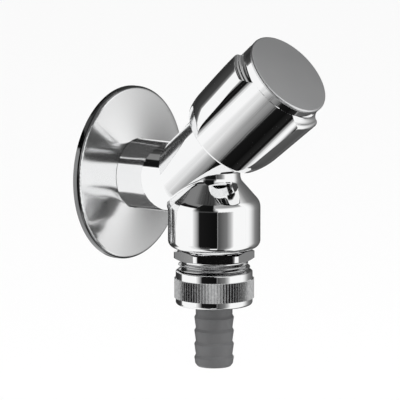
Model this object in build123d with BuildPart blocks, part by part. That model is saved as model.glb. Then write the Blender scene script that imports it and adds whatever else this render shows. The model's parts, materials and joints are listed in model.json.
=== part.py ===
from build123d import *
import os
from math import cos, hypot, pi, radians, sin, tan

os.makedirs("parts", exist_ok=True)

# Driving dimensions, in millimetres and degrees.
# The wall is the plane Y = 0 and the valve stands out of it along -Y.

# layout of the three axes
outlet_reach = 40.4              # wall to the outlet's axis
branch_reach = 26.1              # wall to where the bonnet's axis crosses the inlet's
bonnet_angle = 41.5              # bonnet's axis above the inlet's

# body
tube_diameter = 25.8             # inlet and bonnet tubes
tube_wall = 3.3                  # bonnet tube's wall
tube_edge = 0.5                  # chamfer of the tube's back end
bonnet_overhang = 8.40675        # bonnet tube's end past the outlet's axis, along the bonnet
inlet_thread_diameter = 20.955   # G 1/2 major diameter
inlet_thread_length = 11.0       # reach of the thread behind the wall plane
inlet_shoulder = 2.6             # tube's back end, in front of the wall plane
seal_groove_base = 0.2           # groove's other side, in front of the wall plane
thread_lead = 1.0                # chamfer at a pipe thread's end
inlet_bore = 11.0
inlet_bore_depth = 18.0
seat_bore = 10.0
seat_width = 2.0                 # rim that the washer closes on
seat_lip = 1.5                   # seat's height over the chamber floor
seat_level = 1.0                 # seat, along the bonnet's axis
seat_bore_depth = 11.5           # below the seat
neck_diameter = 19.2             # waist between bonnet and bell
neck_level = 1.0                 # where neck and shoulder cone meet
neck_overlap = 3.0               # neck's end inside the bonnet tube
shoulder_level = -7.5            # where shoulder cone and bell wall meet
bell_diameter = 34.0
bell_rim_level = -24.4
neck_round = 3.7
shoulder_round = 5.0
bell_rim_round = 2.9
seam_round = 0.8                 # casting blends between bell and tubes
outlet_bore = 11.0

# wall rosette
rosette_diameter = 64.6
rosette_rim = 2.6                # height of the rim
rosette_rise = 2.4               # dome, rim to hub
rosette_bulge = 0.25
rosette_wall = 0.9
rosette_rim_round = 1.4
rosette_gap = 0.15               # radial, on the inlet tube

# headwork
valve_lift = 5.0
washer_thickness = 3.0
piston_flange = 2.0
piston_diameter = 14.0
piston_flats = 11.0              # across the flats that stop the piston turning
flange_overhang = 0.5            # piston's flange past the washer
socket_web = 2.0                 # between flange and threaded socket
washer_screw_diameter = 3.0
washer_screw_reach = 0.6         # tip past the flange
washer_screw_head = 6.0
washer_screw_head_height = 1.6
washer_screw_slot = 0.8
washer_screw_slot_depth = 0.7
lift_thread_diameter = 7.0       # spindle's lower thread
spindle_diameter = 9.0
spindle_collar = 2.0
collar_depth = 2.0               # collar's top, below the bonnet tube's end
spindle_square = 6.2
square_length = 8.0
headwork_hex_inset = 3.8         # across flats, less than the bonnet tube's diameter
headwork_hex_height = 4.0
headwork_neck_diameter = 15.0
headwork_neck_length = 10.5
headwork_neck_edge = 0.5
housing_lead = 0.8               # chamfer at the housing's inner end
headwork_gasket_thickness = 0.5
ring_section = 1.2               # spindle O-rings
ring_groove_play = 0.5           # groove's width over the ring's section
ring_offset = 2.5                # lower ring, over the hexagon's base
ring_spacing = 5.0
circlip_thickness = 0.8
circlip_groove_depth = 0.9
circlip_overhang = 1.6           # past the spindle
circlip_mouth_share = 1.4        # opening, as a share of the groove's radius
screw_diameter = 4.0             # handle screw
screw_head_diameter = 7.6
screw_head_height = 2.4
screw_head_edge = 0.6            # chamfer of either screw's head
screw_socket = 3.2               # hexagon, across corners
screw_socket_depth = 1.44

# handle
skirt_gap = 0.6                  # radial, skirt to bonnet tube
skirt_overlap = 1.8              # skirt over the bonnet tube's end
handle_wall = 3.4
handle_length = 36.9             # without the cap
wing_height = 3.3                # at the ledge, over the barrel
wing_low_height = 1.9            # at the foot of the straight part
wing_foot = 9.5                  # foot of the straight part, over the skirt's edge
wing_width = 13.0
wing_count = 3
wing_turn = 30                   # first wing, from the horizontal
wing_edge_share = 0.6            # rounds, as shares of the wings' height
wing_root_share = 0.8
ledge_drop = 4.4                 # wing tops below the handle's end
ledge_trim = 0.05                # barrel turned down over the ledge
ledge_edge_round = 1.3
ledge_cove_round = 2.0
skirt_edge = 0.3
hub_diameter = 13.0
web_thickness = 3.1
cap_thickness = 1.4
cap_dome = 0.25
cap_edge_round = 0.6
cap_plug_length = 3.0
cap_plug_wall = 1.5
cap_recess_wall = 2.3

# non-return cartridge and vent
cartridge_diameter = 14.4
cartridge_length = 10.0
cartridge_bore = 11.0
cartridge_edge = 0.4
cartridge_seat = 1.9             # thickness of the ring that the poppet closes on
cartridge_groove = 1.6           # O-ring's groove
cartridge_ring_drop = 1.6        # O-ring below the poppet's seat
poppet_diameter = 9.8
poppet_seat_bore = 8.0
poppet_thickness = 1.1
poppet_stem = 2.0
poppet_stem_reach = 0.6          # past the guide
poppet_nose_height = 1.2
poppet_shoulder_r = 2.2
poppet_shoulder_height = 0.8
guide_thickness = 1.2
guide_diameter = 6.0
guide_arms = 3
guide_arm_width = 1.4
guide_arm_root = 0.3             # arms' ends in the cartridge's wall
spring_wire = 0.5
spring_turns = 4
cartridge_ring_section = 1.1
diaphragm_thickness = 1.0
diaphragm_lip = 0.2              # inner edge past the nipple's bore
clamp_width = 1.5                # diaphragm's edge under the bell's step
vent_gap = 1.0                   # cartridge to diaphragm
vent_hole = 1.8
vent_holes = 6
vent_wall = 0.9                  # nipple's bore to the air holes
vent_floor = 0.4                 # air holes end over the hexagon
vent_groove_height = 1.6         # ring groove that lets the air in
vent_groove_share = 0.35         # of an air hole, past its centre

# outlet nipple and union
nipple_depth = 6.9               # screwed into the bell
nipple_gap = 0.8                 # air gap under the bell's rim
nipple_edge = 0.4
hex_across_flats = 26.5
hex_corner_diameter = 29.66
hex_height = 3.75
hex_turn = 9.4                   # where the hexagon stops when screwed home
hex_face_inset = 0.2             # turned faces, inside the flats
hex_corner_drop = 0.7            # turned corners, along the axis
outlet_thread_diameter = 26.44   # G 3/4 major diameter
outlet_thread_length = 11.85
outlet_relief_width = 0.5
outlet_relief_depth = 1.1
nipple_bore = 17.2
nut_height = 12.6
nut_band_diameter = 28.3
knurl_diameter = 29.4
knurl_depth = 0.35
knurl_teeth = 84
knurl_height = 7.2
nut_lower_band = 2.5
nut_lip = 1.3
nut_edge_round = 1.0
nut_top_round = 0.5
gasket_thickness = 1.5
hose_gasket_inset = 1.2          # from the tail's bore
tail_collar_thickness = 1.9
tail_collar_gap = 1.2            # to the nut's thread
barb_diameter = 14.62
barb_root_diameter = 13.52
barb_pitch = 4.97
barb_rise = 1.0
barb_count = 4
tail_neck = 4.9                  # nut's underside to the first crest
tail_neck_rise = 0.15            # over the barbs' roots
tail_tip = 3.3                   # last crest to the end
tail_tip_rise = 0.2              # over the barbs' roots
tail_lead = 1.0                  # tapered end
tail_lead_depth = 0.6            # under the barbs' roots
tail_bore = 9.6

# clearances, radial unless said
thread_gap = 0.05
running_gap = 0.05
sliding_gap = 0.05
pass_gap = 0.3                   # union nut over the barbs
ring_gap = 0.02                  # O-ring to wall or groove
groove_floor_gap = 0.01          # cartridge's O-ring to its groove
seal_side_gap = 0.1              # inlet seal to its groove, along the axis
diaphragm_gap = 0.1
cap_plug_gap = 0.1
collar_gap = 0.2                 # spindle's collar to the piston's bore
gasket_gap = 0.3                 # headwork gasket to the thread
washer_hole_gap = 0.1
screw_hole_gap = 0.2
poppet_seat_gap = 0.3
lift_reserve = 0.8               # open piston to the collar, along the axis
spindle_end_gap = 0.3            # open piston to the spindle's end, along the axis
housing_gap = 1.5                # open piston's flange to the housing, along the axis
washer_screw_end_gap = 0.4       # along the axis
screw_end_gap = 1.5              # handle screw's tip to the hole's end
circlip_gap = 0.1                # housing to circlip
hub_gap = 0.6                    # circlip to the handle's hub
spindle_step_gap = 0.1           # spindle's round part to the hub
square_end_gap = 0.2             # square's end to the handle's web
overrun = 1.0                    # cuts past an open end

# axes and section planes: in each section local X is the radius and local Y runs along the axis
tilt = radians(bonnet_angle)
bonnet_root = Vector(0, -branch_reach, 0)
bonnet_way = Vector(0, -cos(tilt), sin(tilt))
outlet_root = Vector(0, -outlet_reach, 0)
inlet_axis = Axis((0, 0, 0), (0, -1, 0))
bonnet_axis = Axis(bonnet_root, bonnet_way)
outlet_axis = Axis(outlet_root, (0, 0, 1))
inlet_section = Plane(origin=(0, 0, 0), x_dir=(1, 0, 0), z_dir=(0, 0, -1))
bonnet_section = Plane(origin=bonnet_root, x_dir=(1, 0, 0), z_dir=Vector(1, 0, 0).cross(bonnet_way))
outlet_section = Plane(origin=outlet_root, x_dir=(1, 0, 0), z_dir=(0, -1, 0))
bonnet_plane = Plane(origin=bonnet_root, x_dir=(1, 0, 0), z_dir=bonnet_way)
outlet_plane = Plane(origin=outlet_root, x_dir=(1, 0, 0), z_dir=(0, 0, 1))

# radii and levels that follow from the driving dimensions
outlet_offset = outlet_reach - branch_reach
outlet_crossing = outlet_offset * tan(tilt)                      # outlet's axis at the bonnet's
bonnet_length = outlet_offset / cos(tilt) + bonnet_overhang      # from the inlet's axis
tube_r = tube_diameter / 2
chamber_r = tube_r - tube_wall
inlet_thread_r = inlet_thread_diameter / 2
seat_r = seat_bore / 2
chamber_floor = seat_level - seat_lip
neck_r = neck_diameter / 2
neck_top = (outlet_offset + neck_r) * tan(tilt) - tube_r / cos(tilt) + neck_overlap
bell_r = bell_diameter / 2
seal_section = inlet_shoulder - seal_groove_base - 2 * seal_side_gap
seal_groove_r = inlet_thread_r - seal_section / 2

washer_top = seat_level + washer_thickness
flange_top = washer_top + piston_flange
collar_top = bonnet_length - collar_depth
collar_base = collar_top - spindle_collar
piston_top = collar_base - valve_lift - lift_reserve
socket_floor = flange_top + socket_web
spindle_base = socket_floor + valve_lift + spindle_end_gap
housing_base = flange_top + valve_lift + housing_gap
hex_base = bonnet_length + headwork_gasket_thickness
hex_top = hex_base + headwork_hex_height
housing_top = hex_top + headwork_neck_length
housing_r = chamber_r - thread_gap
headwork_hex = tube_diameter - headwork_hex_inset
headwork_neck_r = headwork_neck_diameter / 2
piston_r = piston_diameter / 2
spindle_r = spindle_diameter / 2
circlip_base = housing_top + circlip_gap
circlip_groove_r = spindle_r - circlip_groove_depth
circlip_top = circlip_base + circlip_thickness
hub_base = circlip_top + hub_gap
square_top = hub_base + square_length
web_base = square_top + square_end_gap
recess_floor = web_base + web_thickness

screw_r = screw_diameter / 2
screw_top = recess_floor + screw_head_height
skirt_r = tube_r + skirt_gap
barrel_r = skirt_r + handle_wall
handle_base = bonnet_length - skirt_overlap
handle_top = handle_base + handle_length
ledge_level = handle_top - ledge_drop
cap_recess_r = barrel_r - cap_recess_wall

hexagon_top = bell_rim_level - nipple_gap
hexagon_base = hexagon_top - hex_height
nipple_end = hexagon_base - outlet_thread_length
nipple_top = bell_rim_level + nipple_depth
diaphragm_top = nipple_top + diaphragm_thickness
cartridge_base = diaphragm_top + vent_gap
cartridge_top = cartridge_base + cartridge_length
outlet_thread_r = outlet_thread_diameter / 2
nipple_r = outlet_thread_r
bell_bore_r = nipple_r + thread_gap
cartridge_r = cartridge_diameter / 2
cartridge_hole_r = cartridge_r + sliding_gap
diaphragm_r = nipple_r - diaphragm_gap
clamp_r = nipple_r - clamp_width
vent_ring_r = nipple_bore / 2 + vent_hole / 2 + vent_wall
gasket_base = nipple_end - gasket_thickness
tail_collar_base = gasket_base - tail_collar_thickness
nut_base = tail_collar_base - nut_lip
nut_top = nut_base + nut_height
nut_bore_r = outlet_thread_r + thread_gap
knurl_base = nut_base + nut_lower_band
barb_r = barb_diameter / 2
barb_root_r = barb_root_diameter / 2
first_barb = nut_base - tail_neck
tail_end = first_barb - (barb_count - 1) * barb_pitch - tail_tip

# poppet seat and spring seats inside the cartridge
poppet_top = cartridge_top - cartridge_seat
poppet_base = poppet_top - poppet_thickness
guide_top = cartridge_base + guide_thickness
spring_r = guide_diameter / 2 - spring_wire


# Body: inlet tube with its wall thread, bonnet tube and bell in one casting
with BuildPart() as valve_body:
    with BuildSketch(inlet_section):
        with BuildLine():
            CenterArc((0, branch_reach), tube_r, 0, 90)
            Polyline(
                (tube_r, branch_reach), (tube_r, inlet_shoulder + tube_edge),
                (tube_r - tube_edge, inlet_shoulder), (seal_groove_r, inlet_shoulder),
                (seal_groove_r, seal_groove_base), (inlet_thread_r, seal_groove_base),
                (inlet_thread_r, thread_lead - inlet_thread_length),
                (inlet_thread_r - thread_lead, -inlet_thread_length),
                (0, -inlet_thread_length), (0, branch_reach + tube_r),
            )
        make_face()
    revolve(axis=inlet_axis)
    with BuildSketch(bonnet_plane):
        Circle(tube_r)
    extrude(amount=bonnet_length)
    with BuildSketch(outlet_section):
        with BuildLine():
            FilletPolyline(
                (neck_r, neck_top), (neck_r, neck_level), (bell_r, shoulder_level),
                (bell_r, bell_rim_level), (bell_bore_r, bell_rim_level),
                radius=(neck_round, shoulder_round, bell_rim_round),
            )
            Polyline(
                (bell_bore_r, bell_rim_level), (0, bell_rim_level), (0, neck_top), (neck_r, neck_top),
            )
        make_face()
    revolve(axis=outlet_axis)
    seams = valve_body.edges().filter_by(lambda e: e.geom_type not in (GeomType.LINE, GeomType.CIRCLE))
    fillet(seams, seam_round)
    with BuildSketch(Plane.XZ.offset(-inlet_thread_length)):
        Circle(inlet_bore / 2)
    extrude(amount=inlet_thread_length + inlet_bore_depth, mode=Mode.SUBTRACT)
    # seat and chamber along the bonnet's axis
    with BuildSketch(bonnet_section):
        with BuildLine():
            Polyline(
                (0, seat_level - seat_bore_depth), (seat_r, seat_level - seat_bore_depth),
                (seat_r, seat_level), (seat_r + seat_width, seat_level),
                (seat_r + seat_width, chamber_floor), (chamber_r, chamber_floor),
                (chamber_r, bonnet_length + overrun), (0, bonnet_length + overrun), close=True,
            )
        make_face()
    revolve(axis=bonnet_axis, mode=Mode.SUBTRACT)
    # way down to the bell, cartridge bore, diaphragm step and nipple thread
    with BuildSketch(outlet_section):
        with BuildLine():
            Polyline(
                (0, outlet_crossing), (outlet_bore / 2, outlet_crossing), (outlet_bore / 2, cartridge_top),
                (cartridge_hole_r, cartridge_top), (cartridge_hole_r, cartridge_base),
                (clamp_r, cartridge_base), (clamp_r, diaphragm_top), (bell_bore_r, diaphragm_top),
                (bell_bore_r, bell_rim_level - overrun), (0, bell_rim_level - overrun), close=True,
            )
        make_face()
    revolve(axis=outlet_axis, mode=Mode.SUBTRACT)

# Seal in the groove behind the inlet thread
with BuildPart() as inlet_seal_ring:
    with BuildSketch(inlet_section):
        with Locations((seal_groove_r + seal_section / 2, (inlet_shoulder + seal_groove_base) / 2)):
            Circle(seal_section / 2)
    revolve(axis=inlet_axis)

# Wall rosette, a pressed dome with a rolled rim
rosette_r = rosette_diameter / 2
rosette_hole_r = tube_r + rosette_gap
rosette_hub = rosette_rim + rosette_rise
rosette_inner_r = rosette_r - rosette_wall
with BuildPart() as wall_rosette:
    with BuildSketch(inlet_section) as rosette_outline:
        with BuildLine():
            Line((rosette_r, 0), (rosette_r, rosette_rim))
            SagittaArc((rosette_r, rosette_rim), (rosette_hole_r, rosette_hub), rosette_bulge)
            Line((rosette_hole_r, rosette_hub), (rosette_hole_r, rosette_hub - rosette_wall))
            SagittaArc(
                (rosette_hole_r, rosette_hub - rosette_wall),
                (rosette_inner_r, rosette_rim - rosette_wall), -rosette_bulge,
            )
            Polyline((rosette_inner_r, rosette_rim - rosette_wall), (rosette_inner_r, 0), (rosette_r, 0))
        make_face()
        rim_corner = rosette_outline.vertices().sort_by_distance((rosette_r, rosette_rim))[0]
        fillet(rim_corner, rosette_rim_round)
    revolve(axis=inlet_axis)

# Headwork housing: thread, hexagon, neck, and a bore with flats for the piston
with BuildPart() as headwork_housing:
    with BuildSketch(bonnet_plane.offset(hex_base)):
        RegularPolygon(headwork_hex / 2, 6, major_radius=False)
    extrude(amount=headwork_hex_height)
    with BuildSketch(bonnet_section):
        with BuildLine():
            Polyline(
                (0, housing_base), (housing_r - housing_lead, housing_base),
                (housing_r, housing_base + housing_lead), (housing_r, hex_base),
                (headwork_neck_r, hex_base), (headwork_neck_r, housing_top - headwork_neck_edge),
                (headwork_neck_r - headwork_neck_edge, housing_top), (0, housing_top), close=True,
            )
        make_face()
    revolve(axis=bonnet_axis)
    with BuildSketch(bonnet_plane.offset(housing_base)):
        Circle(piston_r + sliding_gap)
        Rectangle(piston_flats + 2 * sliding_gap, piston_diameter + overrun, mode=Mode.INTERSECT)
    extrude(amount=collar_top - housing_base, mode=Mode.SUBTRACT)
    with BuildSketch(bonnet_plane.offset(collar_top)):
        Circle(spindle_r + running_gap)
    extrude(amount=housing_top - collar_top, mode=Mode.SUBTRACT)

with BuildPart() as headwork_gasket:
    with BuildSketch(bonnet_plane.offset(bonnet_length)):
        Circle(headwork_hex / 2)
        Circle(housing_r + gasket_gap, mode=Mode.SUBTRACT)
    extrude(amount=headwork_gasket_thickness)

# Spindle: lift thread, collar, two ring grooves, circlip groove and square
ring_groove_r = spindle_r - ring_section - ring_gap
ring_groove = ring_section + ring_groove_play
lower_ring = hex_base + ring_offset
upper_ring = lower_ring + ring_spacing
lift_thread_r = lift_thread_diameter / 2
collar_r = piston_flats / 2 - collar_gap
spindle_step = hub_base - spindle_step_gap
groove_points = []
for ring in (lower_ring, upper_ring):
    groove_points += [
        (spindle_r, ring - ring_groove / 2), (ring_groove_r, ring - ring_groove / 2),
        (ring_groove_r, ring + ring_groove / 2), (spindle_r, ring + ring_groove / 2),
    ]
with BuildPart() as spindle:
    with BuildSketch(bonnet_section):
        with BuildLine():
            Polyline(
                (0, spindle_base), (lift_thread_r, spindle_base), (lift_thread_r, collar_base),
                (collar_r, collar_base), (collar_r, collar_top), (spindle_r, collar_top), *groove_points,
                (spindle_r, circlip_base), (circlip_groove_r, circlip_base), (circlip_groove_r, circlip_top),
                (spindle_r, circlip_top), (spindle_r, spindle_step), (0, spindle_step), close=True,
            )
        make_face()
    revolve(axis=bonnet_axis)
    with BuildSketch(bonnet_plane.offset(spindle_step)):
        Rectangle(spindle_square, spindle_square)
    extrude(amount=square_top - spindle_step)
    with BuildSketch(bonnet_plane.offset(square_top)):
        Circle(screw_r + thread_gap)
    extrude(amount=-square_length, mode=Mode.SUBTRACT)

with BuildPart() as spindle_seal_lower:
    with BuildSketch(bonnet_section):
        with Locations((spindle_r - ring_section / 2, lower_ring)):
            Circle(ring_section / 2)
    revolve(axis=bonnet_axis)

with BuildPart() as spindle_seal_upper:
    with BuildSketch(bonnet_section):
        with Locations((spindle_r - ring_section / 2, upper_ring)):
            Circle(ring_section / 2)
    revolve(axis=bonnet_axis)

# Open ring that holds the spindle in the housing
with BuildPart() as spindle_circlip:
    with BuildSketch(bonnet_plane.offset(circlip_base)):
        Circle(spindle_r + circlip_overhang)
        Circle(circlip_groove_r, mode=Mode.SUBTRACT)
        with Locations((0, spindle_r)):
            Rectangle(circlip_groove_r * circlip_mouth_share, spindle_diameter, mode=Mode.SUBTRACT)
    extrude(amount=circlip_thickness)

# Piston with flats, lifted by the spindle's thread; it carries the seat washer
washer_r = seat_r + seat_width
washer_screw_r = washer_screw_diameter / 2
washer_screw_end = flange_top + washer_screw_reach
with BuildPart() as valve_piston:
    with BuildSketch(bonnet_plane.offset(flange_top)):
        Circle(piston_r)
        Rectangle(piston_flats, piston_diameter + overrun, mode=Mode.INTERSECT)
    extrude(amount=piston_top - flange_top)
    with BuildSketch(bonnet_plane.offset(washer_top)):
        Circle(washer_r + flange_overhang)
    extrude(amount=piston_flange)
    with BuildSketch(bonnet_plane.offset(socket_floor)):
        Circle(lift_thread_r + thread_gap)
    extrude(amount=piston_top - socket_floor, mode=Mode.SUBTRACT)
    with BuildSketch(bonnet_plane.offset(washer_top)):
        Circle(washer_screw_r + thread_gap)
    extrude(amount=washer_screw_end + washer_screw_end_gap - washer_top, mode=Mode.SUBTRACT)

with BuildPart() as seat_washer:
    with BuildSketch(bonnet_plane.offset(seat_level)):
        Circle(washer_r)
        Circle(washer_screw_r + washer_hole_gap, mode=Mode.SUBTRACT)
    extrude(amount=washer_thickness)

washer_screw_base = seat_level - washer_screw_head_height
washer_screw_head_r = washer_screw_head / 2
with BuildPart() as washer_screw:
    with BuildSketch(bonnet_section):
        with BuildLine():
            Polyline(
                (0, washer_screw_base), (washer_screw_head_r - screw_head_edge, washer_screw_base),
                (washer_screw_head_r, washer_screw_base + screw_head_edge),
                (washer_screw_head_r, seat_level), (washer_screw_r, seat_level),
                (washer_screw_r, washer_screw_end), (0, washer_screw_end), close=True,
            )
        make_face()
    revolve(axis=bonnet_axis)
    with BuildSketch(bonnet_plane.offset(washer_screw_base)):
        Rectangle(washer_screw_head + overrun, washer_screw_slot)
    extrude(amount=washer_screw_slot_depth, mode=Mode.SUBTRACT)

# Handle: barrel and three wings in one outline, trimmed by a turned envelope
wing_r = barrel_r + wing_height
wing_edge_round = wing_edge_share * wing_height
wing_root_round = wing_root_share * wing_height
straight_base = handle_base + wing_foot
straight_r = barrel_r + wing_low_height
trimmed_r = barrel_r - ledge_trim
with BuildPart() as handle:
    with BuildSketch(bonnet_plane.offset(handle_base)) as grip_outline:
        with PolarLocations(wing_r / 2, wing_count, start_angle=wing_turn):
            Rectangle(wing_r, wing_width)
        Circle(wing_r, mode=Mode.INTERSECT)
        Circle(barrel_r)
        corner_rings = grip_outline.vertices().group_by(lambda v: round(hypot(v.X, v.Y), 2))
        fillet(corner_rings[-1], wing_edge_round)
        corner_rings = grip_outline.vertices().group_by(lambda v: round(hypot(v.X, v.Y), 2))
        fillet(corner_rings[0], wing_root_round)
    extrude(amount=handle_length)
    with BuildSketch(bonnet_section):
        with BuildLine():
            TangentArc(
                (straight_r, straight_base), (barrel_r - skirt_edge, handle_base),
                tangent=(straight_r - wing_r, straight_base - ledge_level),
            )
            FilletPolyline(
                (straight_r, straight_base), (wing_r, ledge_level),
                (trimmed_r, ledge_level), (trimmed_r, handle_top),
                radius=(ledge_edge_round, ledge_cove_round),
            )
            Polyline(
                (trimmed_r, handle_top), (0, handle_top), (0, handle_base),
                (barrel_r - skirt_edge, handle_base),
            )
        make_face()
    revolve(axis=bonnet_axis, mode=Mode.INTERSECT)
    with BuildSketch(bonnet_section):
        with BuildLine():
            Polyline(
                (hub_diameter / 2, hub_base), (hub_diameter / 2, web_base), (skirt_r, web_base),
                (skirt_r, handle_base), (0, handle_base), (0, hub_base), close=True,
            )
        make_face()
        with BuildLine():
            Polyline(
                (0, recess_floor), (cap_recess_r, recess_floor),
                (cap_recess_r, handle_top), (0, handle_top), close=True,
            )
        make_face()
    revolve(axis=bonnet_axis, mode=Mode.SUBTRACT)
    with BuildSketch(bonnet_plane.offset(hub_base)):
        Rectangle(spindle_square + 2 * thread_gap, spindle_square + 2 * thread_gap)
    extrude(amount=web_base - hub_base, mode=Mode.SUBTRACT)
    with BuildSketch(bonnet_plane.offset(web_base)):
        Circle(screw_r + screw_hole_gap)
    extrude(amount=web_thickness, mode=Mode.SUBTRACT)

screw_base = square_top - square_length + screw_end_gap
screw_head_r = screw_head_diameter / 2
with BuildPart() as handle_screw:
    with BuildSketch(bonnet_section):
        with BuildLine():
            Polyline(
                (0, screw_base), (screw_r, screw_base), (screw_r, recess_floor),
                (screw_head_r, recess_floor), (screw_head_r, screw_top - screw_head_edge),
                (screw_head_r - screw_head_edge, screw_top), (0, screw_top), close=True,
            )
        make_face()
    revolve(axis=bonnet_axis)
    with BuildSketch(bonnet_plane.offset(screw_top)):
        RegularPolygon(screw_socket / 2, 6)
    extrude(amount=-screw_socket_depth, mode=Mode.SUBTRACT)

# Cap: a faintly domed disc with a plug ring in the handle's recess
cap_top = handle_top + cap_thickness
cap_edge = cap_top - cap_dome
cap_plug_base = handle_top - cap_plug_length
cap_plug_r = cap_recess_r - cap_plug_gap
cap_plug_inner_r = cap_plug_r - cap_plug_wall
with BuildPart() as handle_cap:
    with BuildSketch(bonnet_section) as cap_outline:
        with BuildLine():
            Polyline(
                (0, handle_top), (cap_plug_inner_r, handle_top), (cap_plug_inner_r, cap_plug_base),
                (cap_plug_r, cap_plug_base), (cap_plug_r, handle_top), (barrel_r, handle_top),
                (barrel_r, cap_edge),
            )
            RadiusArc((barrel_r, cap_edge), (0, cap_top), -(barrel_r ** 2 + cap_dome ** 2) / (2 * cap_dome))
            Line((0, cap_top), (0, handle_top))
        make_face()
        fillet(cap_outline.vertices().sort_by_distance((barrel_r, cap_edge))[0], cap_edge_round)
    revolve(axis=bonnet_axis)

# Outlet nipple: hexagon with turned corners, bell thread, hose thread, bore and air holes
vent_groove_r = vent_ring_r + vent_hole * vent_groove_share
vent_groove_top = hexagon_top + vent_groove_height
hex_face_r = hex_across_flats / 2 - hex_face_inset
hex_corner_r = hex_corner_diameter / 2
relief_r = outlet_thread_r - outlet_relief_depth
relief_base = hexagon_base - outlet_relief_width
with BuildPart() as outlet_nipple:
    with BuildSketch(outlet_plane.offset(hexagon_base)):
        RegularPolygon(hex_across_flats / 2, 6, major_radius=False, rotation=hex_turn)
    extrude(amount=hex_height)
    with BuildSketch(outlet_section):
        with BuildLine():
            Polyline(
                (0, hexagon_base), (hex_face_r, hexagon_base),
                (hex_corner_r, hexagon_base + hex_corner_drop),
                (hex_corner_r, hexagon_top - hex_corner_drop),
                (hex_face_r, hexagon_top), (0, hexagon_top), close=True,
            )
        make_face()
    revolve(axis=outlet_axis, mode=Mode.INTERSECT)
    with BuildSketch(outlet_section):
        with BuildLine():
            Polyline(
                (0, nipple_end), (outlet_thread_r - thread_lead, nipple_end),
                (outlet_thread_r, nipple_end + thread_lead), (outlet_thread_r, relief_base),
                (relief_r, relief_base), (relief_r, hexagon_base), (vent_groove_r, hexagon_base),
                (vent_groove_r, vent_groove_top), (nipple_r, vent_groove_top),
                (nipple_r, nipple_top - nipple_edge), (nipple_r - nipple_edge, nipple_top),
                (0, nipple_top), close=True,
            )
        make_face()
    revolve(axis=outlet_axis)
    with BuildSketch(outlet_plane.offset(nipple_end)):
        Circle(nipple_bore / 2)
    extrude(amount=nipple_top - nipple_end, mode=Mode.SUBTRACT)
    with BuildSketch(outlet_plane.offset(nipple_top)):
        with PolarLocations(vent_ring_r, vent_holes):
            Circle(vent_hole / 2)
    extrude(amount=hexagon_top + vent_floor - nipple_top, mode=Mode.SUBTRACT)

with BuildPart() as vent_diaphragm:
    with BuildSketch(outlet_plane.offset(nipple_top)):
        Circle(diaphragm_r)
        Circle(nipple_bore / 2 - diaphragm_lip, mode=Mode.SUBTRACT)
    extrude(amount=diaphragm_thickness)

# Non-return cartridge
seat_bore_r = poppet_seat_bore / 2
cartridge_bore_r = cartridge_bore / 2
ring_level = poppet_top - cartridge_ring_drop
groove_top = ring_level + cartridge_groove / 2
groove_base = ring_level - cartridge_groove / 2
ring_r = cartridge_hole_r - ring_gap - cartridge_ring_section / 2
cartridge_groove_r = ring_r - cartridge_ring_section / 2 - groove_floor_gap
with BuildPart() as check_valve_housing:
    with BuildSketch(outlet_section):
        with BuildLine():
            Polyline(
                (seat_bore_r, cartridge_top), (cartridge_r - cartridge_edge, cartridge_top),
                (cartridge_r, cartridge_top - cartridge_edge), (cartridge_r, groove_top),
                (cartridge_groove_r, groove_top), (cartridge_groove_r, groove_base),
                (cartridge_r, groove_base), (cartridge_r, cartridge_base),
                (cartridge_bore_r, cartridge_base), (cartridge_bore_r, poppet_top),
                (seat_bore_r, poppet_top), close=True,
            )
        make_face()
    revolve(axis=outlet_axis)
    with BuildSketch(outlet_plane.offset(cartridge_base)):
        with PolarLocations(cartridge_bore_r / 2 + guide_arm_root, guide_arms):
            Rectangle(cartridge_bore_r, guide_arm_width)
        Circle(guide_diameter / 2)
        Circle(poppet_stem / 2 + running_gap, mode=Mode.SUBTRACT)
    extrude(amount=guide_thickness)

poppet_r = poppet_diameter / 2
stem_r = poppet_stem / 2
stem_end = cartridge_base - poppet_stem_reach
with BuildPart() as check_valve_poppet:
    with BuildSketch(outlet_section):
        with BuildLine():
            Polyline(
                (0, poppet_top + poppet_nose_height),
                (poppet_shoulder_r, poppet_top + poppet_shoulder_height),
                (seat_bore_r - poppet_seat_gap, poppet_top), (poppet_r, poppet_top),
                (poppet_r, poppet_base), (stem_r, poppet_base), (stem_r, stem_end), (0, stem_end),
                close=True,
            )
        make_face()
    revolve(axis=outlet_axis)

with BuildPart() as check_valve_spring:
    spring_height = poppet_base - guide_top - spring_wire
    with BuildLine() as spring_path:
        Helix(
            spring_height / spring_turns, spring_height, spring_r,
            center=(0, -outlet_reach, guide_top + spring_wire / 2),
        )
    with BuildSketch(Plane(origin=spring_path.line @ 0, z_dir=spring_path.line % 0)):
        Circle(spring_wire / 2)
    sweep(path=spring_path.line, is_frenet=True)

with BuildPart() as check_valve_seal:
    with BuildSketch(outlet_section):
        with Locations((ring_r, ring_level)):
            Circle(cartridge_ring_section / 2)
    revolve(axis=outlet_axis)

# Union nut: two plain bands and a straight knurl between them
knurl_r = knurl_diameter / 2
tooth_step = 2 * pi / knurl_teeth
knurl_points = []
for tooth in range(knurl_teeth):
    crest = tooth * tooth_step
    root = crest + tooth_step / 2
    knurl_points.append((knurl_r * cos(crest), knurl_r * sin(crest)))
    knurl_points.append(((knurl_r - knurl_depth) * cos(root), (knurl_r - knurl_depth) * sin(root)))
band_r = nut_band_diameter / 2
lip_r = barb_r + pass_gap
with BuildPart() as union_nut:
    with BuildSketch(outlet_section):
        with BuildLine():
            FilletPolyline(
                (nut_bore_r, nut_top), (band_r, nut_top), (band_r, nut_base), (lip_r, nut_base),
                radius=(nut_top_round, nut_edge_round),
            )
            Polyline(
                (lip_r, nut_base), (lip_r, tail_collar_base), (nut_bore_r, tail_collar_base),
                (nut_bore_r, nut_top),
            )
        make_face()
    revolve(axis=outlet_axis)
    with BuildSketch(outlet_plane.offset(knurl_base)):
        with BuildLine():
            Polyline(*knurl_points, close=True)
        make_face()
        Circle((nut_bore_r + band_r) / 2, mode=Mode.SUBTRACT)
    extrude(amount=knurl_height)

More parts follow.
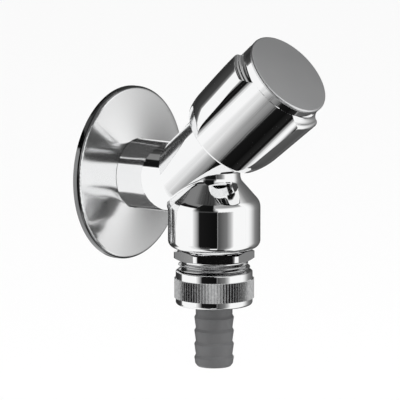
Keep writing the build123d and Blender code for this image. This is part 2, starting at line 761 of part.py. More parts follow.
# Hose tail: collar under the nut's lip, neck and barbs
barb_points = []
for barb in range(barb_count):
    crest_level = first_barb - barb * barb_pitch
    barb_points.append((barb_root_r, crest_level + barb_rise))
    barb_points.append((barb_r, crest_level))
tail_collar_r = nut_bore_r - tail_collar_gap
tail_bore_r = tail_bore / 2
with BuildPart() as hose_tail:
    with BuildSketch(outlet_section):
        with BuildLine():
            Polyline(
                (tail_bore_r, gasket_base), (tail_collar_r, gasket_base), (tail_collar_r, tail_collar_base),
                (barb_root_r + tail_neck_rise, tail_collar_base), *barb_points,
                (barb_root_r + tail_tip_rise, tail_end + tail_lead),
                (barb_root_r - tail_lead_depth, tail_end), (tail_bore_r, tail_end), close=True,
            )
        make_face()
    revolve(axis=outlet_axis)

with BuildPart() as hose_gasket:
    with BuildSketch(outlet_plane.offset(gasket_base)):
        Circle(tail_collar_r)
        Circle(tail_bore_r + hose_gasket_inset, mode=Mode.SUBTRACT)
    extrude(amount=gasket_thickness)

pieces = {
    "valve_body": valve_body,
    "inlet_seal_ring": inlet_seal_ring,
    "wall_rosette": wall_rosette,
    "headwork_housing": headwork_housing,
    "headwork_gasket": headwork_gasket,
    "spindle": spindle,
    "spindle_seal_lower": spindle_seal_lower,
    "spindle_seal_upper": spindle_seal_upper,
    "spindle_circlip": spindle_circlip,
    "valve_piston": valve_piston,
    "seat_washer": seat_washer,
    "washer_screw": washer_screw,
    "handle": handle,
    "handle_screw": handle_screw,
    "handle_cap": handle_cap,
    "outlet_nipple": outlet_nipple,
    "vent_diaphragm": vent_diaphragm,
    "check_valve_housing": check_valve_housing,
    "check_valve_poppet": check_valve_poppet,
    "check_valve_spring": check_valve_spring,
    "check_valve_seal": check_valve_seal,
    "union_nut": union_nut,
    "hose_tail": hose_tail,
    "hose_gasket": hose_gasket,
}
for name, piece in pieces.items():
    piece.part.label = name
    export_step(piece.part, f"parts/{name}.step")
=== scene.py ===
import bpy
import bmesh
import json
from math import cos, pi, radians, sin
from mathutils import Matrix, Vector


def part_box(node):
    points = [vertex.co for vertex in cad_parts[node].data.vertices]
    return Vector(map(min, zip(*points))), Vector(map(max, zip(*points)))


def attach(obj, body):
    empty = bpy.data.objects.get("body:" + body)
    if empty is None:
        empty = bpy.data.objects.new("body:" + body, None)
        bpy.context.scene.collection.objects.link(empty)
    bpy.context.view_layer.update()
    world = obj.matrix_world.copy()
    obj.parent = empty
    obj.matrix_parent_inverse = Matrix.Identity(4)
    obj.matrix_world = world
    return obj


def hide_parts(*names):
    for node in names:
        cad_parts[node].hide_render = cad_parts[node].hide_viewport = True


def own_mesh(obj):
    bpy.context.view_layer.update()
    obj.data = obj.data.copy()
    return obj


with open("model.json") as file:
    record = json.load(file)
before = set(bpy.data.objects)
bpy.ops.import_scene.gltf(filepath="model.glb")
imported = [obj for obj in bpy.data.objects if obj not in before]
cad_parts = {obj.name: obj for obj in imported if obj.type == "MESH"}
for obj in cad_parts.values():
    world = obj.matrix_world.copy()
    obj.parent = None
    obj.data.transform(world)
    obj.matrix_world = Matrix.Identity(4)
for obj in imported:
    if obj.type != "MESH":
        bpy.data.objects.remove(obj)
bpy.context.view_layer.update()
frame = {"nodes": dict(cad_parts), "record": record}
nodes = frame["nodes"]
scene = bpy.context.scene
print("frame loaded:", len(nodes), "nodes")


def addNode(tree, kind, **settings):
    node = tree.nodes.new(kind)
    for name, value in settings.items():
        setattr(node, name, value)
    return node


def link(tree, source, target):
    tree.links.new(source, target)


def newGroup(name, inputs, outputs):
    group = bpy.data.node_groups.new(name, "ShaderNodeTree")
    for label, kind, value in inputs:
        socket = group.interface.new_socket(name=label, in_out="INPUT", socket_type=kind)
        if value is not None:
            socket.default_value = value
    for label, kind in outputs:
        group.interface.new_socket(name=label, in_out="OUTPUT", socket_type=kind)
    return group, addNode(group, "NodeGroupInput"), addNode(group, "NodeGroupOutput")


def mixColours(tree, factor, first, second):
    mix = addNode(tree, "ShaderNodeMix", data_type="RGBA")
    link(tree, factor, mix.inputs["Factor"])
    link(tree, first, mix.inputs["A"])
    link(tree, second, mix.inputs["B"])
    return mix.outputs["Result"]


def spread(tree, value, low, high):  # value 0 to 1 on to low to high
    span = addNode(tree, "ShaderNodeMapRange")
    link(tree, value, span.inputs["Value"])
    link(tree, low, span.inputs["To Min"])
    link(tree, high, span.inputs["To Max"])
    return span.outputs["Result"]


# faint polishing marks and handling smudges, for every plated or bare metal
def makePolishMarks():
    group, given, out = newGroup(
        "polishMarks",
        [("Vector", "NodeSocketVector", None), ("Smudge Scale", "NodeSocketFloat", 60.0),
         ("Mark Scale", "NodeSocketFloat", 900.0), ("Clear", "NodeSocketFloat", 0.03),
         ("Hazy", "NodeSocketFloat", 0.08), ("Deep", "NodeSocketColor", (0.85, 0.86, 0.87, 1)),
         ("Bright", "NodeSocketColor", (0.95, 0.95, 0.95, 1))],
        [("Color", "NodeSocketColor"), ("Roughness", "NodeSocketFloat"), ("Height", "NodeSocketFloat")],
    )
    smudge = addNode(group, "ShaderNodeTexNoise")
    smudge.inputs["Detail"].default_value = 3
    link(group, given.outputs["Vector"], smudge.inputs["Vector"])
    link(group, given.outputs["Smudge Scale"], smudge.inputs["Scale"])
    marks = addNode(group, "ShaderNodeTexNoise")
    marks.inputs["Detail"].default_value = 4
    link(group, given.outputs["Vector"], marks.inputs["Vector"])
    link(group, given.outputs["Mark Scale"], marks.inputs["Scale"])
    both = addNode(group, "ShaderNodeMath", operation="MULTIPLY")
    link(group, smudge.outputs["Fac"], both.inputs[0])
    link(group, marks.outputs["Fac"], both.inputs[1])
    link(group, spread(group, both.outputs[0], given.outputs["Clear"], given.outputs["Hazy"]),
         out.inputs["Roughness"])
    link(group, mixColours(group, smudge.outputs["Fac"], given.outputs["Deep"], given.outputs["Bright"]),
         out.inputs["Color"])
    link(group, marks.outputs["Fac"], out.inputs["Height"])
    return group


# fine moulded grain, for plastics and rubber
def makeMouldGrain():
    group, given, out = newGroup(
        "mouldGrain",
        [("Vector", "NodeSocketVector", None), ("Grain Scale", "NodeSocketFloat", 2500.0),
         ("Cloud Scale", "NodeSocketFloat", 90.0), ("Smooth", "NodeSocketFloat", 0.4),
         ("Rough", "NodeSocketFloat", 0.6), ("Deep", "NodeSocketColor", (0.1, 0.1, 0.1, 1)),
         ("Bright", "NodeSocketColor", (0.2, 0.2, 0.2, 1))],
        [("Color", "NodeSocketColor"), ("Roughness", "NodeSocketFloat"), ("Height", "NodeSocketFloat")],
    )
    grain = addNode(group, "ShaderNodeTexNoise")
    grain.inputs["Detail"].default_value = 2
    link(group, given.outputs["Vector"], grain.inputs["Vector"])
    link(group, given.outputs["Grain Scale"], grain.inputs["Scale"])
    cloud = addNode(group, "ShaderNodeTexNoise")
    cloud.inputs["Detail"].default_value = 4
    link(group, given.outputs["Vector"], cloud.inputs["Vector"])
    link(group, given.outputs["Cloud Scale"], cloud.inputs["Scale"])
    blend = addNode(group, "ShaderNodeMath", operation="ADD", use_clamp=True)
    halfGrain = addNode(group, "ShaderNodeMath", operation="MULTIPLY_ADD")
    halfGrain.inputs[1].default_value = 0.5  # half the grain, moved to swing about zero
    halfGrain.inputs[2].default_value = -0.25
    link(group, grain.outputs["Fac"], halfGrain.inputs[0])
    link(group, halfGrain.outputs[0], blend.inputs[0])
    link(group, cloud.outputs["Fac"], blend.inputs[1])
    link(group, mixColours(group, blend.outputs[0], given.outputs["Deep"], given.outputs["Bright"]),
         out.inputs["Color"])
    link(group, spread(group, grain.outputs["Fac"], given.outputs["Smooth"], given.outputs["Rough"]),
         out.inputs["Roughness"])
    link(group, grain.outputs["Fac"], out.inputs["Height"])
    return group


def makeFinish(finish, group):
    material = bpy.data.materials.new(finish["name"])
    material.use_nodes = True
    tree = material.node_tree
    shader = tree.nodes["Principled BSDF"]
    for socket, value in finish["shader"].items():
        shader.inputs[socket].default_value = value
    place = addNode(tree, "ShaderNodeTexCoord")
    effect = addNode(tree, "ShaderNodeGroup", node_tree=group)
    for socket, value in finish["effect"].items():
        effect.inputs[socket].default_value = value
    link(tree, place.outputs["Object"], effect.inputs["Vector"])
    link(tree, effect.outputs["Color"], shader.inputs["Base Color"])
    link(tree, effect.outputs["Roughness"], shader.inputs["Roughness"])
    bump = addNode(tree, "ShaderNodeBump")
    bump.inputs["Strength"].default_value = finish["bump"]
    bump.inputs["Distance"].default_value = finish["relief"]
    link(tree, effect.outputs["Height"], bump.inputs["Height"])
    link(tree, bump.outputs["Normal"], shader.inputs["Normal"])
    return material


polishMarks = makePolishMarks()
mouldGrain = makeMouldGrain()

metalFinishes = {
    "chrome": {
        "name": "polishedChrome", "shader": {"Metallic": 1.0}, "bump": 0.02, "relief": 0.00002,
        "effect": {"Smudge Scale": 55.0, "Mark Scale": 700.0, "Clear": 0.025, "Hazy": 0.075,
                   "Deep": (0.90, 0.905, 0.91, 1), "Bright": (0.955, 0.955, 0.955, 1)},
    },
    "pressed_chrome": {
        "name": "pressedChrome", "shader": {"Metallic": 0.95}, "bump": 0.03, "relief": 0.00002,
        "effect": {"Smudge Scale": 35.0, "Mark Scale": 900.0, "Clear": 0.1, "Hazy": 0.2,
                   "Deep": (0.88, 0.885, 0.89, 1), "Bright": (0.94, 0.94, 0.94, 1)},
    },
    # darkened chrome for the knurl: the low base colour is painted shade of the knurl grooves, the speckle
    # is random tone
    "knurl_chrome_painted_shade": {
        "name": "knurlChromePaintedShade", "shader": {"Metallic": 1.0}, "bump": 0.7, "relief": 0.00008,
        "effect": {"Smudge Scale": 900.0, "Mark Scale": 2200.0, "Clear": 0.2, "Hazy": 0.36,
                   "Deep": (0.28, 0.285, 0.29, 1), "Bright": (0.58, 0.58, 0.58, 1)},
    },
    # darkened chrome for the rosette's rolled rim: the low base colour is painted shade and painted dark
    # reflection along the rim
    "rim_painted_shade": {
        "name": "rimPaintedShade", "shader": {"Metallic": 1.0}, "bump": 0.02, "relief": 0.00002,
        "effect": {"Smudge Scale": 55.0, "Mark Scale": 700.0, "Clear": 0.04, "Hazy": 0.1,
                   "Deep": (0.16, 0.165, 0.17, 1), "Bright": (0.3, 0.3, 0.3, 1)},
    },
    # darkened chrome for the hose thread's ridge: the low base colour is painted shade of the thread
    # grooves
    "thread_chrome_painted_shade": {
        "name": "threadChromePaintedShade", "shader": {"Metallic": 1.0}, "bump": 0.05, "relief": 0.00002,
        "effect": {"Smudge Scale": 120.0, "Mark Scale": 1500.0, "Clear": 0.12, "Hazy": 0.26,
                   "Deep": (0.40, 0.405, 0.41, 1), "Bright": (0.62, 0.62, 0.62, 1)},
    },
    "satin_chrome": {
        "name": "satinChrome", "shader": {"Metallic": 1.0}, "bump": 0.08, "relief": 0.00003,
        "effect": {"Smudge Scale": 40.0, "Mark Scale": 2600.0, "Clear": 0.30, "Hazy": 0.42,
                   "Deep": (0.74, 0.75, 0.76, 1), "Bright": (0.84, 0.84, 0.84, 1)},
    },
    "brass": {
        "name": "turnedBrass", "shader": {"Metallic": 1.0}, "bump": 0.05, "relief": 0.00003,
        "effect": {"Smudge Scale": 80.0, "Mark Scale": 1500.0, "Clear": 0.18, "Hazy": 0.38,
                   "Deep": (0.62, 0.44, 0.17, 1), "Bright": (0.80, 0.60, 0.28, 1)},
    },
    "steel": {
        "name": "springSteel", "shader": {"Metallic": 1.0}, "bump": 0.04, "relief": 0.00002,
        "effect": {"Smudge Scale": 120.0, "Mark Scale": 2000.0, "Clear": 0.20, "Hazy": 0.36,
                   "Deep": (0.50, 0.51, 0.53, 1), "Bright": (0.66, 0.67, 0.69, 1)},
    },
}
mouldedFinishes = {
    "grey_plastic": {
        "name": "greyNylon", "shader": {"Metallic": 0.0, "IOR": 1.5}, "bump": 0.10, "relief": 0.00004,
        "effect": {"Grain Scale": 2600.0, "Cloud Scale": 120.0, "Smooth": 0.42, "Rough": 0.62,
                   "Deep": (0.112, 0.113, 0.116, 1), "Bright": (0.155, 0.156, 0.159, 1)},
    },
    "white_plastic": {
        "name": "whiteAcetal", "shader": {"Metallic": 0.0, "IOR": 1.48}, "bump": 0.06, "relief": 0.00003,
        "effect": {"Grain Scale": 3200.0, "Cloud Scale": 150.0, "Smooth": 0.30, "Rough": 0.48,
                   "Deep": (0.74, 0.74, 0.72, 1), "Bright": (0.83, 0.83, 0.81, 1)},
    },
    "blue_plastic": {
        "name": "blueAcetal", "shader": {"Metallic": 0.0, "IOR": 1.48}, "bump": 0.06, "relief": 0.00003,
        "effect": {"Grain Scale": 3200.0, "Cloud Scale": 150.0, "Smooth": 0.30, "Rough": 0.48,
                   "Deep": (0.03, 0.10, 0.34, 1), "Bright": (0.05, 0.15, 0.46, 1)},
    },
    "rubber": {
        "name": "blackRubber", "shader": {"Metallic": 0.0, "IOR": 1.52}, "bump": 0.15, "relief": 0.00005,
        "effect": {"Grain Scale": 1800.0, "Cloud Scale": 200.0, "Smooth": 0.60, "Rough": 0.82,
                   "Deep": (0.012, 0.012, 0.013, 1), "Bright": (0.028, 0.028, 0.030, 1)},
    },
}
finishes = {slot: makeFinish(finish, polishMarks) for slot, finish in metalFinishes.items()}
finishes.update({slot: makeFinish(finish, mouldGrain) for slot, finish in mouldedFinishes.items()})
print("finishes made:", len(finishes))


# the slot that the record gives each node
slotOfNode = {part["node"]: part["material_slot"] for part in frame["record"]["subparts"]}


def dress(piece, slot):
    piece.data.materials.clear()
    piece.data.materials.append(finishes[slot])


def dressBand(piece, node, band):  # faces past a radius take a second finish
    piece.data.materials.append(finishes[band["finish"]])
    low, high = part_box(node)
    middle = (Vector(low) + Vector(high)) / 2
    for face in piece.data.polygons:
        arm = face.center - middle
        arm -= band["axis"] * arm.dot(band["axis"])
        if arm.length > band["radius"]:
            face.material_index = 1


for name, node in nodes.items():
    dress(node, slotOfNode[name])
print("nodes dressed:", len(nodes))


# pipe threads, cut as one helical ridge where the solid has a plain cylinder
pipeThread = {"pitch": 0.001814, "depth": 0.001162, "flat": 0.000302, "stepsPerTurn": 96, "spareTurns": 3}
meshing = {"weld": 1e-6, "cut": 1e-7, "touch": 2e-6, "slack": 1e-5, "edgeAngle": 32}  # metres, and degrees

wallThread = {
    "name": "bodyWithWallThread", "node": "valve_body", "body": "fixed_valve",
    "start": Vector((0, -0.0002, 0)), "out": Vector((0, 1, 0)),
    "length": 0.0112, "crest": 0.0104775, "startRadius": 0.0093775, "endRadius": 0.0094775,
}
hoseThread = {
    "name": "nippleWithHoseThread", "node": "outlet_nipple", "body": "fixed_valve",
    # the ridge takes the darkened thread finish, painted shade of the thread grooves
    "out": Vector((0, 0, -1)), "ridgeFinish": "thread_chrome_painted_shade",
    "length": 0.01135, "crest": 0.01322, "startRadius": 0.01212, "endRadius": 0.01222,
}
nippleLow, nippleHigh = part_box(hoseThread["node"])
hoseThread["start"] = Vector(((nippleLow[0] + nippleHigh[0]) / 2, (nippleLow[1] + nippleHigh[1]) / 2,
                              nippleLow[2] + hoseThread["length"]))


def spinThread(thread):  # along local Z from 0 to the thread's length
    pitch, depth, flat = pipeThread["pitch"], pipeThread["depth"], pipeThread["flat"]
    crest, length, steps = thread["crest"], thread["length"], pipeThread["stepsPerTurn"]
    root = crest - depth
    flank = (pitch - 2 * flat) / 2
    profile = [(root, 0), (root, flat / 2), (crest, flat / 2 + flank), (crest, 1.5 * flat + flank),
               (root, 1.5 * flat + 2 * flank), (root, pitch)]
    turns = int(length / pitch) + pipeThread["spareTurns"]  # the spare ones are cut off below
    bm = bmesh.new()
    ring = [bm.verts.new((radius, 0, level - pitch)) for radius, level in profile]
    edges = [bm.edges.new(pair) for pair in zip(ring, ring[1:])]
    bmesh.ops.spin(bm, geom=ring + edges, cent=(0, 0, 0), axis=(0, 0, 1), angle=2 * pi * turns,
                   steps=turns * steps, dvec=(0, 0, pitch / steps))
    bmesh.ops.remove_doubles(bm, verts=bm.verts, dist=meshing["weld"])
    for level, side in ((0, -1), (length, 1)):
        bmesh.ops.bisect_plane(bm, geom=bm.verts[:] + bm.edges[:] + bm.faces[:], dist=meshing["cut"],
                               plane_co=(0, 0, level), plane_no=(0, 0, side), clear_outer=True)
    for vert in bm.verts:  # run-out at the start, chamfer at the free end
        radius = vert.co.xy.length
        room = min(thread["startRadius"] + vert.co.z, thread["endRadius"] + length - vert.co.z)
        if radius > room:
            vert.co.xy *= room / radius
    bmesh.ops.recalc_face_normals(bm, faces=bm.faces)
    outward = sum(face.normal.dot(face.calc_center_median() * Vector((1, 1, 0))) for face in bm.faces)
    if outward < 0:
        bmesh.ops.reverse_faces(bm, faces=bm.faces)
    return bm


def mergedCopy(nodeName):
    bm = bmesh.new()
    bm.from_mesh(nodes[nodeName].data)
    bmesh.ops.remove_doubles(bm, verts=bm.verts, dist=meshing["weld"])
    return bm


def finishPiece(bm, piece):  # smooth plating over the facets, true edges kept sharp
    mesh = bpy.data.meshes.new(piece["name"])
    bm.to_mesh(mesh)
    bm.free()
    if mesh.attributes.get("custom_normal"):
        mesh.attributes.remove(mesh.attributes["custom_normal"])
    mesh.shade_smooth()
    mesh.set_sharp_from_angle(angle=radians(meshing["edgeAngle"]))
    shape = bpy.data.objects.new(piece["name"], mesh)
    scene.collection.objects.link(shape)
    even = shape.modifiers.new("evenPlating", "WEIGHTED_NORMAL")
    even.mode = "FACE_AREA_WITH_ANGLE"
    even.keep_sharp = True
    ridgeFaces = [face for face in mesh.polygons if face.material_index == 1]  # before dress resets it
    dress(shape, piece.get("finish", slotOfNode[piece["node"]]))
    if "ridgeFinish" in piece:
        mesh.materials.append(finishes[piece["ridgeFinish"]])
        for face in ridgeFaces:
            face.material_index = 1
    if "band" in piece:
        dressBand(shape, piece["node"], piece["band"])
    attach(shape, piece["body"])
    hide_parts(piece["node"])
    print("piece made:", piece["name"], len(mesh.polygons), "faces")
    return shape


def threadedPiece(thread):
    turned = thread["out"].to_track_quat("Z", "Y").to_matrix().to_4x4()
    place = Matrix.Translation(thread["start"]) @ turned
    inverse = place.inverted()
    bm = mergedCopy(thread["node"])
    lowest, smallest = -meshing["slack"], thread["startRadius"] - meshing["slack"]

    def onThread(face):  # the plain cylinder that the ridge takes the place of
        spots = [inverse @ vert.co for vert in face.verts]
        return all(spot.z > lowest and spot.xy.length > smallest for spot in spots)

    bmesh.ops.delete(bm, geom=[face for face in bm.faces if onThread(face)], context="FACES")
    ridge = spinThread(thread)
    bmesh.ops.transform(ridge, matrix=place, verts=ridge.verts)
    for face in ridge.faces:
        face.material_index = 1 if "ridgeFinish" in thread else 0
    ridgeMesh = bpy.data.meshes.new("ridge")
    ridge.to_mesh(ridgeMesh)
    ridge.free()
    bm.from_mesh(ridgeMesh)
    bpy.data.meshes.remove(ridgeMesh)
    for level in (0, thread["length"]):
        loops = [edge for edge in bm.edges if edge.is_boundary
                 and all(abs((inverse @ vert.co).z - level) < meshing["touch"] for vert in edge.verts)]
        bmesh.ops.bridge_loops(bm, edges=loops)
    finishPiece(bm, thread)


threadedPiece(wallThread)
threadedPiece(hoseThread)

rosetteLow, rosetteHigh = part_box("wall_rosette")
rolledEdge = {"width": 0.0008, "reach": (rosetteHigh[0] - rosetteLow[0]) / 2}
platedPieces = [
    {"name": "gripHandle", "node": "handle", "body": "turning_handle"},
    {"name": "capDisc", "node": "handle_cap", "body": "turning_handle"},
    # the rolled rim takes the darkened rim finish, painted shade and dark reflection
    {"name": "rosetteCover", "node": "wall_rosette", "body": "rosette", "finish": "pressed_chrome",
     "band": {"finish": "rim_painted_shade", "axis": Vector((0, 1, 0)),
              "radius": rolledEdge["reach"] - rolledEdge["width"]}},
    # the knurl faces take the darkened knurl finish, painted shade of the grooves
    {"name": "knurledNut", "node": "union_nut", "body": "knurled_nut",
     "band": {"finish": "knurl_chrome_painted_shade", "axis": Vector((0, 0, 1)), "radius": 0.01418}},
    {"name": "barbedTail", "node": "hose_tail", "body": "hose_connection"},
]
for piece in platedPieces:
    finishPiece(mergedCopy(piece["node"]), piece)

# the return spring, as a merged copy with a mesh of its own
returnSpring = {"name": "returnSpring", "node": "check_valve_spring", "body": "fixed_valve",
                "joint": "non_return_lift", "travel": 0.003}
coil = finishPiece(mergedCopy(returnSpring["node"]), returnSpring)
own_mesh(coil)


# studio: white surround, dark and grey cards for the plated metal to mirror, soft lamps, pale floor
studio = {"centre": Vector((0, -0.045, 0)), "cardRadius": 1.3, "cardSteps": 24, "mirrorOrder": 1.5,
          "surroundLight": 0.55}

# turn and rise in degrees, shade along the turn, soft edges left, right, low and high
# mirrored: LESS_THAN shows in the first mirror image alone, GREATER_THAN in the later ones alone
# nearer: metres in front of the other cards
reflectionCards = [
    {"name": "ceilingCard", "turn": (0, 360), "rise": (56, 89), "soft": (0.1, 0.1, 8, 0.1),
     "shade": [(0, 0.15), (0.3, 0.14), (0.46, 0.05), (0.6, 0.05), (0.7, 0.45), (0.84, 0.45), (1, 0.15)]},
    {"name": "frontFlag", "turn": (160, 228), "rise": (-48, 30), "soft": (3, 5, 12, 34),
     "mirrored": "LESS_THAN", "shade": [(0, 0.95), (0.19, 0.35), (0.28, 0.01), (1, 0.004)]},
    {"name": "barrelCard", "turn": (146, 206), "rise": (-64, -14), "soft": (4, 6, 6, 6),
     "mirrored": "LESS_THAN", "shade": [(0, 1.0), (0.3, 0.72), (0.48, 0.36), (0.7, 0.2), (1, 0.12)]},
    {"name": "upperFlag", "turn": (158, 224), "rise": (-4, 76), "soft": (14, 12, 14, 8),
     "mirrored": "LESS_THAN", "shade": [(0, 0.01), (1, 0.004)]},
    {"name": "upperLeftCard", "turn": (62, 168), "rise": (26, 72), "soft": (6, 4, 3, 8),
     "shade": [(0, 0.18), (0.5, 0.22), (1, 0.2)]},
    {"name": "stripFlag", "turn": (104, 172), "rise": (25, 45), "soft": (6, 6, 3, 3), "nearer": 0.03,
     "shade": [(0, 0.01), (1, 0.004)]},
    {"name": "upperRightCard", "turn": (216, 302), "rise": (24, 64), "soft": (6, 8, 16, 6),
     "mirrored": "LESS_THAN", "shade": [(0, 0.42), (0.4, 0.33), (1, 0.3)]},
    {"name": "lowCard", "turn": (225, 266), "rise": (-66, 6), "soft": (1, 2, 10, 10),
     "mirrored": "LESS_THAN", "shade": [(0, 0.06), (0.2, 0.11), (0.55, 0.20), (0.8, 0.5), (1, 0.95)]},
    {"name": "sideWall", "turn": (300, 380), "rise": (-40, 64), "soft": (1, 8, 14, 8),
     "mirrored": "LESS_THAN",
     "shade": [(0, 1.0), (0.125, 1.0), (0.25, 0.8), (0.36, 0.5), (0.48, 0.25), (0.65, 0.16), (1, 0.12)]},
    {"name": "rearFlag", "turn": (-4, 106), "rise": (-38, 62), "soft": (10, 4, 10, 8),
     "shade": [(0, 0.14), (0.4, 0.07), (0.7, 0.03), (0.92, 0.06), (1, 0.3)]},
    {"name": "tableFlag", "turn": (158, 264), "rise": (-89, -54), "soft": (30, 8, 0.5, 8),
     "shade": [(0, 0.01), (1, 0.004)]},
    {"name": "tableSideFlag", "turn": (240, 338), "rise": (-89, -62), "soft": (4, 14, 0.5, 8),
     "shade": [(0, 0.004), (1, 0.02)]},
    {"name": "lowSideCard", "turn": (328, 392), "rise": (-76, -26), "soft": (6, 8, 6, 6),
     "shade": [(0, 0.14), (0.6, 0.09), (1, 0.05)]},
    {"name": "bandEcho", "turn": (150, 234), "rise": (31, 50), "soft": (8, 4, 3, 3),
     "mirrored": "GREATER_THAN", "nearer": 0.05, "shade": [(0, 0.006), (1, 0.006)]},
    {"name": "roofEcho", "turn": (0, 360), "rise": (50, 89), "soft": (0.1, 0.1, 3, 0.1),
     "mirrored": "GREATER_THAN", "nearer": 0.05, "shade": [(0, 0.05), (1, 0.05)]},
    {"name": "upperSideEcho", "turn": (230, 345), "rise": (20, 52), "soft": (4, 8, 4, 3),
     "mirrored": "GREATER_THAN", "nearer": 0.05, "shade": [(0, 0.006), (1, 0.01)]},
    {"name": "threadEcho", "turn": (70, 350), "rise": (-80, -50), "soft": (8, 8, 3, 4),
     "mirrored": "GREATER_THAN", "nearer": 0.05, "shade": [(0, 0.1), (1, 0.1)]},
    {"name": "sideEcho", "turn": (246, 335), "rise": (-54, -13), "soft": (5, 8, 5, 5),
     "mirrored": "GREATER_THAN", "nearer": 0.05, "shade": [(0, 0.006), (1, 0.01)]},
]


def ramp(tree, value, start, end):
    step = addNode(tree, "ShaderNodeMapRange", interpolation_type="SMOOTHSTEP")
    step.inputs["From Min"].default_value = start
    step.inputs["From Max"].default_value = end
    link(tree, value, step.inputs["Value"])
    return step.outputs["Result"]


def product(tree, values):
    total = values[0]
    for value in values[1:]:
        times = addNode(tree, "ShaderNodeMath", operation="MULTIPLY")
        link(tree, total, times.inputs[0])
        link(tree, value, times.inputs[1])
        total = times.outputs[0]
    return total


def cardMaterial(card):
    material = bpy.data.materials.new(card["name"] + "Cloth")
    material.use_nodes = True
    tree = material.node_tree
    tree.nodes.clear()
    place = addNode(tree, "ShaderNodeTexCoord")
    axes = addNode(tree, "ShaderNodeSeparateXYZ")
    link(tree, place.outputs["UV"], axes.inputs[0])
    across, along = axes.outputs["X"], axes.outputs["Y"]
    wide, tall = card["turn"][1] - card["turn"][0], card["rise"][1] - card["rise"][0]
    left, right, low, high = card["soft"]
    edges = [ramp(tree, across, 0, left / wide), ramp(tree, across, 1, 1 - right / wide),
             ramp(tree, along, 0, low / tall), ramp(tree, along, 1, 1 - high / tall)]
    if "mirrored" in card:
        path = addNode(tree, "ShaderNodeLightPath")
        order = addNode(tree, "ShaderNodeMath", operation=card["mirrored"])
        order.inputs[1].default_value = studio["mirrorOrder"]
        link(tree, path.outputs["Glossy Depth"], order.inputs[0])
        edges.append(order.outputs[0])
    mask = product(tree, edges)
    shade = addNode(tree, "ShaderNodeValToRGB")
    stops = shade.color_ramp.elements
    for spot, level in card["shade"][1:-1]:
        stops.new(spot)
    for stop, (spot, level) in zip(stops, card["shade"]):
        stop.position = spot
        stop.color = (level, level, level, 1)
    link(tree, across, shade.inputs["Fac"])
    glow = addNode(tree, "ShaderNodeEmission")
    link(tree, shade.outputs["Color"], glow.inputs["Color"])
    clear = addNode(tree, "ShaderNodeBsdfTransparent")
    mix = addNode(tree, "ShaderNodeMixShader")
    link(tree, mask, mix.inputs["Fac"])
    link(tree, clear.outputs[0], mix.inputs[1])
    link(tree, glow.outputs[0], mix.inputs[2])
    out = addNode(tree, "ShaderNodeOutputMaterial")
    link(tree, mix.outputs[0], out.inputs["Surface"])
    return material


def skyWay(turn, rise):  # unit vector from two angles in degrees
    return Vector((cos(radians(turn)) * cos(radians(rise)), sin(radians(turn)) * cos(radians(rise)),
                   sin(radians(rise))))


def between(ends, place):  # place -1 to 1 on to the two ends
    return ends[0] + (ends[1] - ends[0]) * (place + 1) / 2


def hangCard(card):  # seen by the plating alone
    bm = bmesh.new()
    bm.loops.layers.uv.new()
    steps = studio["cardSteps"]
    bmesh.ops.create_grid(bm, x_segments=steps, y_segments=steps, size=1, calc_uvs=True)
    reach = studio["cardRadius"] - card.get("nearer", 0)
    for vert in bm.verts:
        way = skyWay(between(card["turn"], vert.co.x), between(card["rise"], vert.co.y))
        vert.co = studio["centre"] + way * reach
    mesh = bpy.data.meshes.new(card["name"])
    bm.to_mesh(mesh)
    bm.free()
    cloth = bpy.data.objects.new(card["name"], mesh)
    cloth.data.materials.append(cardMaterial(card))
    scene.collection.objects.link(cloth)
    for sight in ("camera", "diffuse", "shadow", "transmission"):
        setattr(cloth, "visible_" + sight, False)


for card in reflectionCards:
    hangCard(card)
print("cards hung:", len(reflectionCards))


def whiteToViewer(tree):  # 1 for rays from the camera, a mirror or a lens
    path = addNode(tree, "ShaderNodeLightPath")
    first = addNode(tree, "ShaderNodeMath", operation="MAXIMUM")
    second = addNode(tree, "ShaderNodeMath", operation="MAXIMUM")
    link(tree, path.outputs["Is Camera Ray"], first.inputs[0])
    link(tree, path.outputs["Is Glossy Ray"], first.inputs[1])
    link(tree, first.outputs[0], second.inputs[0])
    link(tree, path.outputs["Is Transmission Ray"], second.inputs[1])
    return second.outputs[0]


def makeSurround():
    world = bpy.data.worlds.new("whiteSurround")
    world.use_nodes = True
    tree = world.node_tree
    tree.nodes.clear()
    light = addNode(tree, "ShaderNodeBackground")
    light.inputs["Strength"].default_value = studio["surroundLight"]
    white = addNode(tree, "ShaderNodeBackground")
    for shader in (light, white):
        shader.inputs["Color"].default_value = (1, 1, 1, 1)
    mix = addNode(tree, "ShaderNodeMixShader")
    link(tree, whiteToViewer(tree), mix.inputs["Fac"])
    link(tree, light.outputs[0], mix.inputs[1])
    link(tree, white.outputs[0], mix.inputs[2])
    out = addNode(tree, "ShaderNodeOutputWorld")
    link(tree, mix.outputs[0], out.inputs["Surface"])
    scene.world = world


paleFloor = {"level": -0.17, "size": 6.0, "colour": (0.9, 0.9, 0.9, 1), "whiteShare": 0.6}


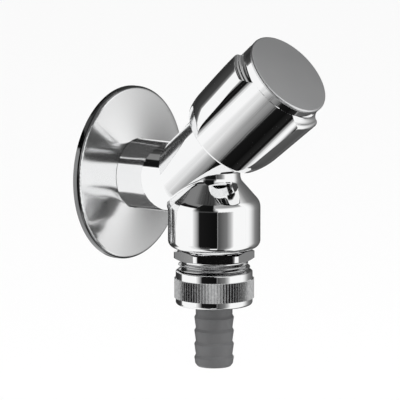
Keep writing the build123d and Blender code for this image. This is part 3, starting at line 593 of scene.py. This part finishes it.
def layFloor():
    bm = bmesh.new()
    bmesh.ops.create_grid(bm, x_segments=1, y_segments=1, size=paleFloor["size"] / 2,
                          matrix=Matrix.Translation((0, 0, paleFloor["level"])))
    mesh = bpy.data.meshes.new("paleFloor")
    bm.to_mesh(mesh)
    bm.free()
    floor = bpy.data.objects.new("paleFloor", mesh)
    material = bpy.data.materials.new("paleFloor")
    material.use_nodes = True
    tree = material.node_tree
    tree.nodes.clear()
    matt = addNode(tree, "ShaderNodeBsdfDiffuse")
    matt.inputs["Color"].default_value = paleFloor["colour"]
    white = addNode(tree, "ShaderNodeEmission")
    share = addNode(tree, "ShaderNodeMath", operation="MULTIPLY")
    share.inputs[1].default_value = paleFloor["whiteShare"]  # the rest keeps the shadow
    link(tree, whiteToViewer(tree), share.inputs[0])
    mix = addNode(tree, "ShaderNodeMixShader")
    link(tree, share.outputs[0], mix.inputs["Fac"])
    link(tree, matt.outputs[0], mix.inputs[1])
    link(tree, white.outputs[0], mix.inputs[2])
    out = addNode(tree, "ShaderNodeOutputMaterial")
    link(tree, mix.outputs[0], out.inputs["Surface"])
    floor.data.materials.append(material)
    scene.collection.objects.link(floor)
    floor.visible_glossy = False  # mirrors see the white surround and the cards past it


softLamps = [  # seen from the studio's centre
    {"name": "keyLamp", "turn": 262, "rise": 48, "away": 1.4, "size": 0.9, "power": 6.0},
    {"name": "leftLamp", "turn": 150, "rise": 25, "away": 1.4, "size": 0.9, "power": 3.0},
]
topLamp = {"name": "topLamp", "power": 1.3, "spreadAngle": 70}


def hangLamp(lamp):
    light = bpy.data.lights.new(lamp["name"], "AREA")
    light.shape = "DISK"
    light.size = lamp["size"]
    light.energy = lamp["power"]
    piece = bpy.data.objects.new(lamp["name"], light)
    way = skyWay(lamp["turn"], lamp["rise"])
    piece.location = studio["centre"] + way * lamp["away"]
    piece.rotation_euler = way.to_track_quat("Z", "Y").to_euler()
    piece.visible_glossy = False
    scene.collection.objects.link(piece)


def hangTopLamp():
    light = bpy.data.lights.new(topLamp["name"], "SUN")
    light.energy = topLamp["power"]
    light.angle = radians(topLamp["spreadAngle"])
    piece = bpy.data.objects.new(topLamp["name"], light)
    piece.visible_glossy = False
    scene.collection.objects.link(piece)


makeSurround()
layFloor()
for lamp in softLamps:
    hangLamp(lamp)
hangTopLamp()
print("studio lit:", len(softLamps), "soft lamps and the top lamp")


# the photograph's viewpoint
viewpoint = {"turn": -53.55, "rise": 8.81, "away": 1.537, "target": Vector((-0.0269, -0.0538, -0.0023)),
             "lens": 384.5, "sensor": 36.0}
camera = bpy.data.objects.new("photoCamera", bpy.data.cameras.new("photoCamera"))
camera.data.lens = viewpoint["lens"]
camera.data.sensor_width = viewpoint["sensor"]
backWay = skyWay(viewpoint["turn"] - 90, viewpoint["rise"])
camera.location = viewpoint["target"] + backWay * viewpoint["away"]
camera.rotation_euler = backWay.to_track_quat("Z", "Y").to_euler()
scene.collection.objects.link(camera)
scene.camera = camera
scene.view_settings.view_transform = "Standard"
print("camera placed")
